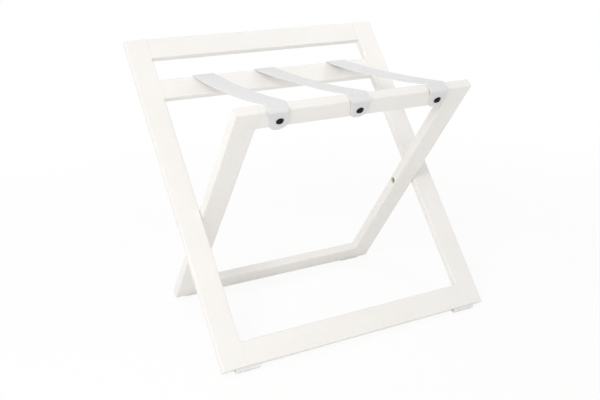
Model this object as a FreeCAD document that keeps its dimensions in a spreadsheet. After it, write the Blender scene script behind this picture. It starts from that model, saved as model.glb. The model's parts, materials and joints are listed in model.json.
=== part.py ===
import FreeCAD, Part
import math
import os
import re
import Sketcher

# A folding luggage stand: a tall outer frame that leans back and carries a backrest rail, and a short
# inner frame that leans forward between its stiles. The frames turn on two recessed pivot bolts, and
# three straps from the strap rail to the seat rail hold them open.
#
# Row frame: +X to the right, +Y to the back, +Z up, origin on the floor below the middle of the part.
# A frame's pieces are drawn in that frame's own plane, with the origin on the pivot axis: X across,
# Y up along the stiles, Z out of the front face. A Placement then leans them about the pivot.

Vector = FreeCAD.Vector
X_AXIS = Vector(1, 0, 0)
Z_AXIS = Vector(0, 0, 1)

# ---------------------------------------------------------------- driving dimensions, millimetres
DRIVING = [
    ("open_angle", 51.5, "angle of both frames above the floor, degrees"),
    ("frame_width", 560, "over the outer stiles"),
    ("pivot_height", 230.5, "pivot axis above the floor"),
    ("seat_height", 459, "top of the straps above the floor, at the rails"),
    ("edge_radius", 2, "rounding of the boards' free edges"),
    ("outer_board", 14, "thickness of the outer frame's boards"),
    ("outer_stile_width", 45, "face width of an outer stile"),
    ("backrest_rail_width", 44, "face width of the backrest rail"),
    ("hand_slot_height", 48, "slot between backrest rail and strap rail, along the stiles"),
    ("strap_rail_width", 42, "face width of the strap rail"),
    ("front_foot_rail_width", 45, "face width of the outer frame's bottom rail"),
    ("inner_board", 18, "thickness of the inner frame's boards"),
    ("inner_stile_width", 44, "face width of an inner stile"),
    ("seat_rail_width", 40, "face width of the inner frame's top rail"),
    ("rear_foot_rail_width", 40, "face width of the inner frame's bottom rail"),
    ("stile_gap", 1, "between an outer stile and the inner stile beside it"),
    ("tenon_length", 22, "how far a rail's tenon enters its stile"),
    ("tenon_shoulder", 10, "from a rail's edge to the edge of its tenon"),
    ("outer_tenon", 6, "tenon thickness in the outer frame"),
    ("inner_tenon", 8, "tenon thickness in the inner frame"),
    ("tenon_clearance", 0.1, "glue space on every side of a tenon"),
    ("bolt_diameter", 6, "shank of a pivot bolt"),
    ("bolt_head_diameter", 11.5, "head of a pivot bolt"),
    ("bolt_head_height", 5, "height of a pivot bolt's head"),
    ("bolt_recess", 3, "how far the head lies below the stile's side"),
    ("bolt_socket", 5, "hexagon socket, across flats"),
    ("bolt_socket_depth", 2.5, "depth of the hexagon socket"),
    ("head_clearance", 0.5, "around the bolt's head in its counterbore"),
    ("running_clearance", 0.05, "around the bolt's shank in every bore"),
    ("side_play", 0.2, "end play of the inner frame on its bolts"),
    ("insert_diameter", 9, "outside of a threaded insert"),
    ("insert_length", 15, "length of a threaded insert"),
    ("insert_end_space", 1, "left free behind an insert"),
    ("insert_clearance", 0.05, "glue space around an insert"),
    ("washer_diameter", 13, "pivot washer"),
    ("foot_pad_length", 44, "foot pad, along the rail"),
    ("foot_pad_thickness", 6, "foot pad, below the board's end"),
    ("foot_pad_inset", 24, "from the frame's side to the end of its foot pad"),
    ("foot_tread", 6, "width of a foot pad's level tread"),
    ("strap_inset", 10.5, "from an inner stile to the edge of the strap beside it, evenly placed"),
    ("strap_left_rear", 16, "left strap's rear end, to the right of its even place"),
    ("strap_left_front", 6, "left strap's front end, to the right of its even place"),
    ("strap_centre_rear", -8, "centre strap's rear end, to the right of its even place"),
    ("strap_centre_front", 3, "centre strap's front end, to the right of its even place"),
    ("strap_right_rear", 4, "right strap's rear end, to the right of its even place"),
    ("strap_right_front", 10, "right strap's front end, to the right of its even place"),
    ("strap_width", 45, "width of a strap"),
    ("strap_thickness", 2.5, "thickness of a strap"),
    ("strap_sag", 7, "how far a strap hangs below its ends"),
    ("strap_clearance", 0.3, "between a strap and what it lies on or under"),
    ("tongue_radius", 17, "rounded end of a strap"),
    ("tongue_lead", 5, "from the strap screw down to the middle of that round end"),
    ("tongue_shoulder", 2, "from a rail's top edge to where the tongue starts to narrow"),
    ("tongue_hole", 5, "screw hole in the tongue"),
    ("rear_screw_drop", 17, "from the strap rail's top edge down to the rear strap screws"),
    ("front_screw_drop", 24, "from the seat rail's top edge down to the front strap screws"),
    ("strap_screw_head", 14, "head of a strap screw"),
    ("strap_screw_rim", 0.8, "rim height of its domed head"),
    ("strap_screw_dome", 2.6, "rise of the dome above the rim"),
    ("strap_screw_shank", 4, "shank of a strap screw"),
    ("strap_screw_grip", 10, "how far that screw enters the rail"),
    ("pilot_clearance", 0.05, "around that screw in its hole"),
]

# ---------------------------------------------------------------- sizes that follow from them
LEAN_SIN = "sin(open_angle * 1deg)"
LEAN_COS = "cos(open_angle * 1deg)"


def foot_reach(board):
    """From the pivot down to the end of a stile whose foot pad stands on the floor."""
    return (f"(pivot_height - ({board} / 2 - foot_tread * {LEAN_SIN}) * {LEAN_COS}) / {LEAN_SIN}"
            " - foot_pad_thickness")


def crest_reach(board):
    """From the pivot up to the top edge of a rail whose rounded corner carries the straps."""
    return ("(seat_height - strap_thickness - strap_clearance - edge_radius - pivot_height"
            f" - ({board} / 2 - edge_radius) * {LEAN_COS}) / {LEAN_SIN} + edge_radius")


def tongue_sizes(end):
    """How far one end of a strap narrows, and where its sides meet the round end."""
    run = f"{end}_tongue_run"
    return [
        (run, f"{end}_screw_drop + tongue_lead - tongue_shoulder",
         f"{end}: from the middle of the round end up to where the tongue narrows"),
        (f"{end}_tongue_touch", f"(atan(2 * {run} / strap_width)"
         f" - acos(tongue_radius / sqrt((strap_width / 2) ^ 2 + {run} ^ 2))) / 1deg",
         f"{end}: direction, from that middle, in which the tongue's side meets its round end"),
    ]


DERIVED = [
    ("outer_foot_reach", foot_reach("outer_board"), "pivot to the outer stiles' bottom ends"),
    ("strap_rail_reach", crest_reach("outer_board"), "pivot to the strap rail's top edge"),
    ("outer_top_reach", "strap_rail_reach + hand_slot_height + backrest_rail_width",
     "pivot to the outer stiles' top ends"),
    ("inner_foot_reach", foot_reach("inner_board"), "pivot to the inner stiles' bottom ends"),
    ("inner_top_reach", crest_reach("inner_board"), "pivot to the seat rail's top edge"),
    ("outer_side", "frame_width / 2", "middle to the outer stiles' outer sides"),
    ("outer_shoulder", "outer_side - outer_stile_width", "middle to the outer stiles' inner sides"),
    ("inner_side", "outer_shoulder - stile_gap", "middle to the inner stiles' outer sides"),
    ("inner_shoulder", "inner_side - inner_stile_width", "middle to the inner stiles' inner sides"),
    ("washer_thickness", "stile_gap - side_play", "pivot washer"),
    ("head_seat", "inner_shoulder + bolt_recess + bolt_head_height", "middle to a bolt head's seat"),
    ("bolt_end", "outer_shoulder + insert_length", "middle to the far end of a bolt"),
    ("outer_pad_centre", "outer_side - foot_pad_inset - foot_pad_length / 2",
     "middle to the middle of a front foot pad"),
    ("inner_pad_centre", "inner_side - foot_pad_inset - foot_pad_length / 2",
     "middle to the middle of a rear foot pad"),
    ("tread_across", f"foot_tread * {LEAN_SIN}", "tread, measured across the board"),
    ("tread_along", f"foot_tread * {LEAN_COS}", "tread, measured along the stiles"),
    ("strap_pitch", "inner_shoulder - strap_inset - strap_width / 2", "between even places of straps"),
    ("strap_screw_seat", "strap_thickness + 2 * strap_clearance", "rail's face to a screw head's seat"),
    ("strap_mid_lift", "strap_clearance + strap_thickness / 2",
     "rail to the middle of a strap's thickness"),
    ("strap_span", f"(strap_rail_reach + inner_top_reach - 2 * edge_radius) * {LEAN_COS}"
     f" - ((outer_board + inner_board) / 2 - 2 * edge_radius) * {LEAN_SIN}",
     "between the two rounded corners that a strap hangs from"),
    ("strap_dip", "2 * atan(2 * strap_sag / strap_span) / 1deg", "slope of a strap where it leaves a rail"),
    ("strap_curve", "strap_span / 2 / sin(strap_dip * 1deg)", "radius of the sag through those corners"),
    *tongue_sizes("rear"),
    *tongue_sizes("front"),
]

doc = FreeCAD.newDocument("luggage_stand")
sheet = doc.addObject("Spreadsheet::Sheet", "Sizes")
# the pivot's place along Y is set at the end, once the whole part's extent is known
CELLS = DRIVING + DERIVED + [("pivot_back", 0, "pivot axis behind the middle of the part")]
ALIASES = {alias for alias, _, _ in CELLS}
for row, (alias, amount, note) in enumerate(CELLS, start=1):
    sheet.set(f"A{row}", alias)
    sheet.set(f"B{row}", f"={amount}" if isinstance(amount, str) else str(amount))
    sheet.set(f"C{row}", note)
    sheet.setAlias(f"B{row}", alias)
doc.recompute()


def bound(formula):
    """The formula with each alias pointed at the sheet, as setExpression wants it."""
    return re.sub(r"[a-z_]+", lambda word: f"Sizes.{word[0]}" if word[0] in ALIASES else word[0], formula)


def value(formula):
    """What the formula comes to with the sheet's present sizes."""
    return FreeCAD.Units.Quantity(sheet.evalExpression(bound(formula))).Value


# ---------------------------------------------------------------- sketch and feature helpers
LEANS = {"outer": "open_angle * 1deg", "inner": "180deg - open_angle * 1deg"}


def new_body(label, frame=None):
    """A body named for its piece, leaning about the pivot with the frame it belongs to, if any."""
    body = doc.addObject("PartDesign::Body", label)
    body.Label = label
    lean = FreeCAD.Rotation(X_AXIS, value(LEANS[frame]) if frame else 0)
    body.Placement = FreeCAD.Placement(Vector(0, 0, value("pivot_height")), lean)
    body.setExpression("Placement.Base.y", bound("pivot_back"))
    body.setExpression("Placement.Base.z", bound("pivot_height"))
    if frame:
        body.setExpression("Placement.Rotation.Angle", bound(LEANS[frame]))
    return body


def new_sketch(body, plane, name, **offset):
    """A sketch on one of the body's own origin planes, moved by bound distances along its axes."""
    sketch = body.newObject("Sketcher::SketchObject", name)
    support = [item for item in body.Origin.OriginFeatures if item.Role == plane][0]
    sketch.AttachmentSupport = [(support, "")]
    sketch.MapMode = "FlatFace"
    for axis, formula in offset.items():
        sketch.setExpression(f"AttachmentOffset.Base.{axis}", bound(formula))
    return sketch


def bind(sketch, kind, *target, formula):
    """A driving constraint whose value follows the formula."""
    index = sketch.addConstraint(Sketcher.Constraint(kind, *target, value(formula)))
    sketch.setExpression(f"Constraints[{index}]", bound(formula))


def short_arc(start, end, radius, turn):
    """The arc under half a turn from start to end, anticlockwise for turn 1, clockwise for -1."""
    chord = end - start
    rise = math.sqrt(max(radius ** 2 - (chord.Length / 2) ** 2, 0))
    left = Vector(-chord.y, chord.x) / chord.Length
    centre = start + chord / 2 + left * rise * turn
    angles = [math.atan2(point.y - centre.y, point.x - centre.x) for point in (start, end)]
    return Part.ArcOfCircle(Part.Circle(centre, Z_AXIS, radius), *angles[::turn])


def outline(sketch, corners, arcs=None):
    """A closed outline through bound corners. arcs: number of a side to (radius formula, turn)."""
    arcs = arcs or {}
    points = [Vector(value(across), value(up)) for across, up in corners]
    count = len(points)
    first = sketch.GeometryCount
    heads = []
    for i in range(count):
        start, end = points[i], points[(i + 1) % count]
        radius, turn = arcs.get(i, ("0", 1))
        side = short_arc(start, end, value(radius), turn) if i in arcs else Part.LineSegment(start, end)
        sketch.addGeometry(side)
        # a clockwise arc is stored the other way round, so its first end is where the side ends
        heads.append(1 if turn == 1 else 2)
    for i, (across, up) in enumerate(corners):
        after = (i + 1) % count
        ends = (first + i, 3 - heads[i], first + after, heads[after])
        sketch.addConstraint(Sketcher.Constraint("Coincident", *ends))
        bind(sketch, "DistanceX", -1, 1, first + i, heads[i], formula=across)
        bind(sketch, "DistanceY", -1, 1, first + i, heads[i], formula=up)
    for i, (radius, _) in arcs.items():
        bind(sketch, "Radius", first + i, formula=radius)


def rectangle(sketch, width, height):
    """A rectangle centred on the sketch's origin."""
    left, right = f"-({width}) / 2", f"({width}) / 2"
    bottom, top = f"-({height}) / 2", f"({height}) / 2"
    outline(sketch, [(left, bottom), (right, bottom), (right, top), (left, top)])


def circle(sketch, diameter, across="0", up="0"):
    """A circle with a bound centre."""
    ring = sketch.addGeometry(Part.Circle(Vector(value(across), value(up)), Z_AXIS, value(diameter) / 2))
    bind(sketch, "Diameter", ring, formula=diameter)
    bind(sketch, "DistanceX", -1, 1, ring, 3, formula=across)
    bind(sketch, "DistanceY", -1, 1, ring, 3, formula=up)


def hexagon(sketch, across_flats):
    """A regular hexagon centred on the sketch's origin."""
    flat = f"{across_flats} / 2"
    point = f"{across_flats} / sqrt(3)"
    outline(sketch, [(point, "0"), (f"{point} / 2", flat), (f"-{point} / 2", flat), (f"-{point}", "0"),
                     (f"-{point} / 2", f"-{flat}"), (f"{point} / 2", f"-{flat}")])


def pad(body, sketch, name, length):
    """A pad of the given length, half of it to each side of the sketch."""
    feature = body.newObject("PartDesign::Pad", name)
    feature.Profile = sketch
    feature.SideType = "Symmetric"
    feature.setExpression("Length", bound(length))
    doc.recompute()


def pocket(body, sketch, name, depth):
    """A pocket that reaches the given depth to each side of the sketch, and has to cut something."""
    before = body.Shape.Volume
    feature = body.newObject("PartDesign::Pocket", name)
    feature.Profile = sketch
    feature.SideType = "Symmetric"
    feature.setExpression("Length", bound(f"2 * ({depth})"))
    doc.recompute()
    if not body.Shape.Volume < before:
        raise RuntimeError(f"{body.Label}: {name} cuts nothing")


def round_edges(body, wanted):
    """A fillet of edge_radius on each edge of the body for which wanted(its two ends) is true."""
    base = body.Tip
    chosen = [f"Edge{i}" for i, edge in enumerate(base.Shape.Edges, start=1)
              if wanted(*[end.Point for end in edge.Vertexes])]
    feature = body.newObject("PartDesign::Fillet", "rounding")
    feature.Base = (base, chosen)
    feature.setExpression("Radius", bound("edge_radius"))
    doc.recompute()


# ---------------------------------------------------------------- the two frames
SIDES = {"left": -1, "right": 1}
# each frame: board thickness, outer side and shoulder across, foot and top along the stiles, tenon
FRAMES = {
    "outer": dict(board="outer_board", side="outer_side", shoulder="outer_shoulder",
                  foot="outer_foot_reach", top="outer_top_reach", tenon="outer_tenon"),
    "inner": dict(board="inner_board", side="inner_side", shoulder="inner_shoulder",
                  foot="inner_foot_reach", top="inner_top_reach", tenon="inner_tenon"),
}
# each rail: its frame, its width, and the place of its top edge along the stiles
RAILS = {
    "backrest_rail": ("outer", "backrest_rail_width", "outer_top_reach"),
    "strap_rail": ("outer", "strap_rail_width", "strap_rail_reach"),
    "front_foot_rail": ("outer", "front_foot_rail_width", "front_foot_rail_width - outer_foot_reach"),
    "seat_rail": ("inner", "seat_rail_width", "inner_top_reach"),
    "rear_foot_rail": ("inner", "rear_foot_rail_width", "rear_foot_rail_width - inner_foot_reach"),
}
# each window between two rails: its frame, its lower end and its upper end along the stiles
WINDOWS = {
    "hand_slot": ("outer", "strap_rail_reach", "outer_top_reach - backrest_rail_width"),
    "leg_window": ("outer", "front_foot_rail_width - outer_foot_reach",
                   "strap_rail_reach - strap_rail_width"),
    "inner_window": ("inner", "rear_foot_rail_width - inner_foot_reach",
                     "inner_top_reach - seat_rail_width"),
}


def make_stile(frame, side_name):
    """A board with a mortise for each rail. Its face edges are rounded, but not where rails butt."""
    spec = FRAMES[frame]
    side = SIDES[side_name]
    shoulder, board = spec["shoulder"], spec["board"]
    body = new_body(f"{frame}_stile_{side_name}", frame)
    face = new_sketch(body, "XY_Plane", "face", x=f"{side} * ({shoulder} + {spec['side']}) / 2",
                      y=f"({spec['top']} - {spec['foot']}) / 2")
    rectangle(face, f"{spec['side']} - {shoulder}", f"{spec['top']} + {spec['foot']}")
    pad(body, face, "board", board)
    butt_side = value(shoulder) + 0.1
    round_edges(body, lambda one, other: max(abs(one.x), abs(other.x)) > butt_side
                and abs(one.z - other.z) < 0.1)

    for rail, (owner, width, top) in RAILS.items():
        if owner == frame:
            mouth = new_sketch(body, "YZ_Plane", f"{rail}_mouth", x=f"{top} - {width} / 2",
                               z=f"{side} * {shoulder}")
            rectangle(mouth, f"{width} - 2 * tenon_shoulder + 2 * tenon_clearance",
                      f"{spec['tenon']} + 2 * tenon_clearance")
            pocket(body, mouth, f"{rail}_mortise", "tenon_length + tenon_clearance")

    for window, (owner, low, high) in WINDOWS.items():
        if owner == frame:
            corner = new_sketch(body, "XZ_Plane", f"{window}_corners", x=f"{side} * {shoulder}",
                                z=f"-({low} + ({high})) / 2")
            for front in (-1, 1):
                edge, past = f"{front} * {board} / 2", f"{side} * edge_radius"
                inner = f"{front} * ({board} / 2 - edge_radius)"
                outline(corner, [("0", inner), ("0", edge), (past, edge)],
                        {2: ("edge_radius", side * front)})
            pocket(body, corner, f"{window}_rounding", f"({high} - ({low})) / 2")
    return body


def make_rail(label):
    """A rounded board between the stiles, with a tenon on each end."""
    frame, width, top = RAILS[label]
    spec = FRAMES[frame]
    body = new_body(label, frame)
    centre = f"{top} - {width} / 2"
    face = new_sketch(body, "XY_Plane", "face", y=centre)
    rectangle(face, f"2 * {spec['shoulder']}", width)
    pad(body, face, "board", spec["board"])
    round_edges(body, lambda one, other: abs(one.x - other.x) > 0.1)
    ends = new_sketch(body, "YZ_Plane", "tenon_section", x=centre)
    rectangle(ends, f"{width} - 2 * tenon_shoulder", spec["tenon"])
    pad(body, ends, "tenons", f"2 * ({spec['shoulder']} + tenon_length)")
    return body


def cut_round(body, side, name, diameter, depth):
    """A round hole about the pivot axis, from a stile's inner side."""
    frame = body.Label.split("_")[0]
    mouth = new_sketch(body, "YZ_Plane", f"{name}_mouth", z=f"{side} * {FRAMES[frame]['shoulder']}")
    circle(mouth, diameter)
    pocket(body, mouth, name, depth)


pieces = []
for side_name, side in SIDES.items():
    outer_stile = make_stile("outer", side_name)
    cut_round(outer_stile, side, "insert_hole", "insert_diameter + 2 * insert_clearance",
              "insert_length + insert_end_space")
    inner_stile = make_stile("inner", side_name)
    cut_round(inner_stile, side, "bolt_hole", "bolt_diameter + 2 * running_clearance",
              "inner_stile_width + stile_gap")
    cut_round(inner_stile, side, "counterbore", "bolt_head_diameter + 2 * head_clearance",
              "bolt_recess + bolt_head_height + side_play")
    pieces += [outer_stile, inner_stile]

# the strap screws enter the strap rail from behind and the seat rail from the front, where the straps end
EVEN_PLACES = {"left": "-strap_pitch", "centre": "0", "right": "strap_pitch"}
STRAP_ENDS = {
    end: {name: f"({even} + strap_{name}_{end})" for name, even in EVEN_PLACES.items()}
    for end in ("rear", "front")
}
# each rail that takes strap screws: the end of the straps that it takes, and the face that they enter
STRAP_RAILS = {"strap_rail": ("rear", -1), "seat_rail": ("front", 1)}
for rail_name in RAILS:
    rail = make_rail(rail_name)
    if rail_name in STRAP_RAILS:
        frame_name, _, top = RAILS[rail_name]
        end, face = STRAP_RAILS[rail_name]
        pilots = new_sketch(rail, "XY_Plane", "strap_screw_holes", y=f"{top} - {end}_screw_drop",
                            z=f"{face} * {FRAMES[frame_name]['board']} / 2")
        for place in STRAP_ENDS[end].values():
            circle(pilots, "strap_screw_shank + 2 * pilot_clearance", across=place)
        pocket(rail, pilots, "strap_screw_pilots", "strap_screw_grip + pilot_clearance")
    pieces.append(rail)


# ---------------------------------------------------------------- pivots
def make_rings(label, start, thickness, outside, inside):
    """A ring about the pivot axis on each side of the stand, from start outwards."""
    body = new_body(label, "outer")
    for side_name, side in SIDES.items():
        section = new_sketch(body, "YZ_Plane", f"{side_name}_section",
                             z=f"{side} * ({start} + ({thickness}) / 2)")
        circle(section, outside)
        circle(section, inside)
        pad(body, section, f"{side_name}_ring", thickness)
    return body


def make_bolt(side_name):
    """A socket-head bolt that enters from the inner stile's inner side."""
    side = SIDES[side_name]
    body = new_body(f"pivot_bolt_{side_name}", "outer")
    shank = new_sketch(body, "YZ_Plane", "shank_section", z=f"{side} * (head_seat + bolt_end) / 2")
    circle(shank, "bolt_diameter")
    pad(body, shank, "shank", "bolt_end - head_seat")
    head = new_sketch(body, "YZ_Plane", "head_section", z=f"{side} * (head_seat - bolt_head_height / 2)")
    circle(head, "bolt_head_diameter")
    pad(body, head, "head", "bolt_head_height")
    socket = new_sketch(body, "YZ_Plane", "socket_section", z=f"{side} * (head_seat - bolt_head_height)")
    hexagon(socket, "bolt_socket")
    pocket(body, socket, "socket", "bolt_socket_depth")
    return body


pieces += [make_bolt(side_name) for side_name in SIDES]
SHANK_BORE = "bolt_diameter + 2 * running_clearance"
pieces.append(make_rings("threaded_inserts", "outer_shoulder", "insert_length",
                         "insert_diameter", SHANK_BORE))
pieces.append(make_rings("pivot_washers", "outer_shoulder - washer_thickness", "washer_thickness",
                         "washer_diameter", SHANK_BORE))


# ---------------------------------------------------------------- feet
def make_foot_pad(label, frame, side, low_face):
    """A plate under a board's end, its lower corner cut to a level tread. low_face: -1 back, 1 front."""
    spec = FRAMES[frame]
    body = new_body(label, frame)
    section = new_sketch(body, "YZ_Plane", "section", z=f"{side} * {frame}_pad_centre")
    low, high = f"{low_face} * {spec['board']} / 2", f"{-low_face} * {spec['board']} / 2"
    tread_start = f"{low_face} * ({spec['board']} / 2 - tread_across)"
    top, sole = f"-{spec['foot']}", f"-({spec['foot']} + foot_pad_thickness)"
    outline(section, [(top, low), (top, high), (sole, high), (sole, tread_start),
                      (f"{sole} + tread_along", low)])
    pad(body, section, "plate", "foot_pad_length")
    return body


for side_name, side in SIDES.items():
    pieces.append(make_foot_pad(f"front_foot_pad_{side_name}", "outer", side, -1))
    pieces.append(make_foot_pad(f"rear_foot_pad_{side_name}", "inner", side, 1))


# ---------------------------------------------------------------- straps and their screws
# In the side view the two frames are mirror images: a strap's rear half lies on the outer frame's strap
# rail and its front half on the inner frame's seat rail.
HALVES = {
    "outer": ("", "outer_board", "strap_rail_reach", "rear"),
    "inner": ("-", "inner_board", "inner_top_reach", "front"),
}


def side_view(frame, along, out):
    """Side-view place (back, up) from the pivot of a point `along` a frame and `out` of its upper face."""
    back = HALVES[frame][0]
    return (f"{back}(({along}) * {LEAN_COS} - ({out}) * {LEAN_SIN})",
            f"({along}) * {LEAN_SIN} + ({out}) * {LEAN_COS}")


def strap_half(frame, lift):
    """A strap's five corners on one rail, from the tail, over the rounded top edge, to the sagging span."""
    back, board, top, end = HALVES[frame]
    flat = f"{board} / 2 - edge_radius"
    centre_back, centre_up = side_view(frame, f"{top} - edge_radius", flat)
    return [side_view(frame, f"{top} - {end}_screw_drop - tongue_lead - tongue_radius",
                      f"-({board} / 2 + {lift})"),
            side_view(frame, f"{top} - edge_radius", f"-({board} / 2 + {lift})"),
            side_view(frame, f"{top} + {lift}", f"-({flat})"),
            side_view(frame, f"{top} + {lift}", flat),
            (f"{centre_back} - {back}(edge_radius + {lift}) * sin(strap_dip * 1deg)",
             f"{centre_up} + (edge_radius + {lift}) * cos(strap_dip * 1deg)")]


def cut_tongue(body, frame, place):
    """Narrows one end of a strap to a round tongue below its screw, and makes the screw's hole."""
    _, board, top, end = HALVES[frame]
    back, up = side_view(frame, f"{top} - {end}_screw_drop - tongue_lead",
                         f"-({board} / 2 + strap_mid_lift)")
    tongue = new_sketch(body, "XY_Plane", f"{frame}_tongue", x=place, y=back, z=up)
    tongue.AttachmentOffset = FreeCAD.Placement(Vector(), FreeCAD.Rotation(X_AXIS, value(LEANS[frame])))
    tongue.setExpression("AttachmentOffset.Rotation.Angle", bound(LEANS[frame]))
    # each side runs from the strap's edge at the shoulder, at a tangent into the round end
    edge, waste = "strap_width / 2", "strap_width"
    touch_across = f"tongue_radius * cos({end}_tongue_touch * 1deg)"
    touch_up = f"tongue_radius * sin({end}_tongue_touch * 1deg)"
    waste_up = (f"{touch_up} + ({end}_tongue_run - {touch_up}) * ({waste} - {touch_across})"
                f" / ({edge} - {touch_across})")
    outline(tongue, [(f"-{waste}", waste_up), (f"-{touch_across}", touch_up), ("0", "-tongue_radius"),
                     (touch_across, touch_up), (waste, waste_up), (waste, f"-{waste}"),
                     (f"-{waste}", f"-{waste}")],
            {1: ("tongue_radius", 1), 2: ("tongue_radius", 1)})
    circle(tongue, "tongue_hole", up="tongue_lead")
    pocket(body, tongue, f"{frame}_tongue_cut", "strap_thickness")


def make_strap(name):
    """A strap: over both rails with a sagging span between them, and a screwed tongue at each end."""
    rear, front = STRAP_ENDS["rear"][name], STRAP_ENDS["front"][name]
    middle, skew = f"({rear} + {front}) / 2", f"({rear} - {front})"
    body = new_body(f"strap_{name}")
    section = new_sketch(body, "YZ_Plane", "section", z=middle)
    corners, arcs = [], {}
    # the underside runs forwards from the rear tail, the upper side comes back
    for lift, turn, ends in (("strap_clearance", 1, ("outer", "inner")),
                             ("strap_clearance + strap_thickness", -1, ("inner", "outer"))):
        first = len(corners)
        corners += strap_half(ends[0], lift) + strap_half(ends[1], lift)[::-1]
        for bend in (1, 3, 5, 7):
            arcs[first + bend] = (f"edge_radius + {lift}", turn)
        arcs[first + 4] = (f"strap_curve - (edge_radius + {lift})", -turn)
    outline(section, corners, arcs)
    pad(body, section, "band", "2 * strap_width")
    # seen from above its edges slant, by the difference between the places of its two ends
    plan = new_sketch(body, "XY_Plane", "plan", x=middle)
    for side in SIDES.values():
        edge, waste = f"{side} * strap_width / 2", f"{side} * 3 * strap_width / 2"
        outline(plan, [(f"{edge} - {skew}", "-strap_span"), (waste, "-strap_span"),
                       (waste, "strap_span"), (f"{edge} + {skew}", "strap_span")])
    pocket(body, plan, "slant", "2 * seat_height")
    cut_tongue(body, "outer", rear)
    cut_tongue(body, "inner", front)
    return body


def make_strap_screws(label, rail_name):
    """The row of domed screws that hold one end of every strap."""
    frame, _, top = RAILS[rail_name]
    end, face = STRAP_RAILS[rail_name]
    board = FRAMES[frame]["board"]
    body = new_body(label, frame)
    tip = f"{face} * ({board} / 2 - strap_screw_grip)"
    seat = f"{face} * ({board} / 2 + strap_screw_seat)"
    rim = f"{face} * ({board} / 2 + strap_screw_seat + strap_screw_rim)"
    crown = f"{face} * ({board} / 2 + strap_screw_seat + strap_screw_rim + strap_screw_dome)"
    shank, head = "strap_screw_shank / 2", "strap_screw_head / 2"
    for name, place in STRAP_ENDS[end].items():
        profile = new_sketch(body, "XZ_Plane", f"{name}_half_section", x=place,
                             z=f"-({top} - {end}_screw_drop)")
        outline(profile, [("0", tip), (shank, tip), (shank, seat), (head, seat), (head, rim), ("0", crown)],
                {4: (f"(({head}) ^ 2 + strap_screw_dome ^ 2) / (2 * strap_screw_dome)", face)})
        turned = body.newObject("PartDesign::Revolution", f"{name}_screw")
        turned.Profile = profile
        turned.ReferenceAxis = (profile, ["V_Axis"])
        turned.Angle = 360
        doc.recompute()
    return body


pieces += [make_strap(name) for name in EVEN_PLACES]
pieces.append(make_strap_screws("rear_strap_screws", "strap_rail"))
pieces.append(make_strap_screws("front_strap_screws", "seat_rail"))

# ---------------------------------------------------------------- set the origin, check, write
extent = FreeCAD.BoundBox()
for piece in pieces:
    extent.add(piece.Shape.optimalBoundingBox(False, False))
sheet.set(sheet.getCellFromAlias("pivot_back"), str(-extent.Center.y))
doc.recompute()

for item in doc.Objects:
    if "Invalid" in item.State or "Error" in item.State:
        raise RuntimeError(f"{item.Label} failed: {item.State}")
for piece in pieces:
    if piece.Shape.isNull() or not piece.Shape.isValid():
        raise RuntimeError(f"{piece.Label} has no valid shape")

os.makedirs("parts", exist_ok=True)
for piece in pieces:
    piece.Shape.exportStep(f"parts/{piece.Label}.step")
    print(f"{piece.Label}: {len(piece.Shape.Solids)} solid, {piece.Shape.Volume / 1000:.2f} cm3")
print("pivot", round(value("pivot_back"), 3), round(value("pivot_height"), 3), "extent", extent)
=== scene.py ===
"""The finished look of a folding luggage stand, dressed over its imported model."""
import json
import math

import bmesh
import bpy
from mathutils import Euler, Matrix, Vector


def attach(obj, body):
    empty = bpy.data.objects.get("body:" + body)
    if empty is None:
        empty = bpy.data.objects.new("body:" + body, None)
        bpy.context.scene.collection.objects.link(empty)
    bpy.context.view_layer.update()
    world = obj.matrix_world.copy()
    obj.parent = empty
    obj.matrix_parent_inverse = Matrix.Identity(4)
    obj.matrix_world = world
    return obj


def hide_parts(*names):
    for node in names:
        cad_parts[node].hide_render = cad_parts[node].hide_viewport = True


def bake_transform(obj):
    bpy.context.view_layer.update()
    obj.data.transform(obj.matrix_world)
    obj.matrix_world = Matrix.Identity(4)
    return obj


bl_info = {
    "name": "Luggage stand dressing",
    "version": (1, 0, 0),
    "blender": (4, 5, 0),
    "location": "3D View > Sidebar > Stand",
    "description": "Paints the boards, fits the straps, screws and feet, and sets the stage",
    "category": "Object",
}

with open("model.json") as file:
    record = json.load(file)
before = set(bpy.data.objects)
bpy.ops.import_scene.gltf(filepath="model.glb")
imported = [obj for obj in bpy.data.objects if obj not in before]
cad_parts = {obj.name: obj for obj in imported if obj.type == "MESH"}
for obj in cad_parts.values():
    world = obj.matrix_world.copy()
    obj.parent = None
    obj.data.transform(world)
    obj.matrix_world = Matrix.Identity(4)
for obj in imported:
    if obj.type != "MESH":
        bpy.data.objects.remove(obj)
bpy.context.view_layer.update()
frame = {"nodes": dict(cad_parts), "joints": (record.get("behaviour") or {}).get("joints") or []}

# ------------------------------------------------------------------ where things are in the frame
PIVOT = Vector(frame["joints"][0]["pos_m"])
LEAN = math.radians(51.5)
OUTER, INNER = "outer_frame", "inner_frame"
# in each frame's own axes X runs across, Y up the stiles and Z out of the front face
TURNS = {OUTER: Euler((LEAN, 0, 0)), INNER: Euler((math.pi - LEAN, 0, 0))}
# 1 for the frame that leans back, whose upper face is its front one, and -1 for the other frame
LEANING = {OUTER: 1, INNER: -1}
# solids of a row that lie closer than this count as one
ROW_GAP = 0.02


def own_axes(body):
    """The matrix from a frame's own axes, with the pivot as origin, to the row frame."""
    return Matrix.Translation(PIVOT) @ TURNS[body].to_matrix().to_4x4()


def own_span(node, body):
    """(lowest, highest) corner of a CAD node in its frame's own axes."""
    to_own = own_axes(body).inverted()
    points = [to_own @ vertex.co for vertex in frame["nodes"][node].data.vertices]
    return (Vector([min(p[i] for p in points) for i in range(3)]),
            Vector([max(p[i] for p in points) for i in range(3)]))


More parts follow.
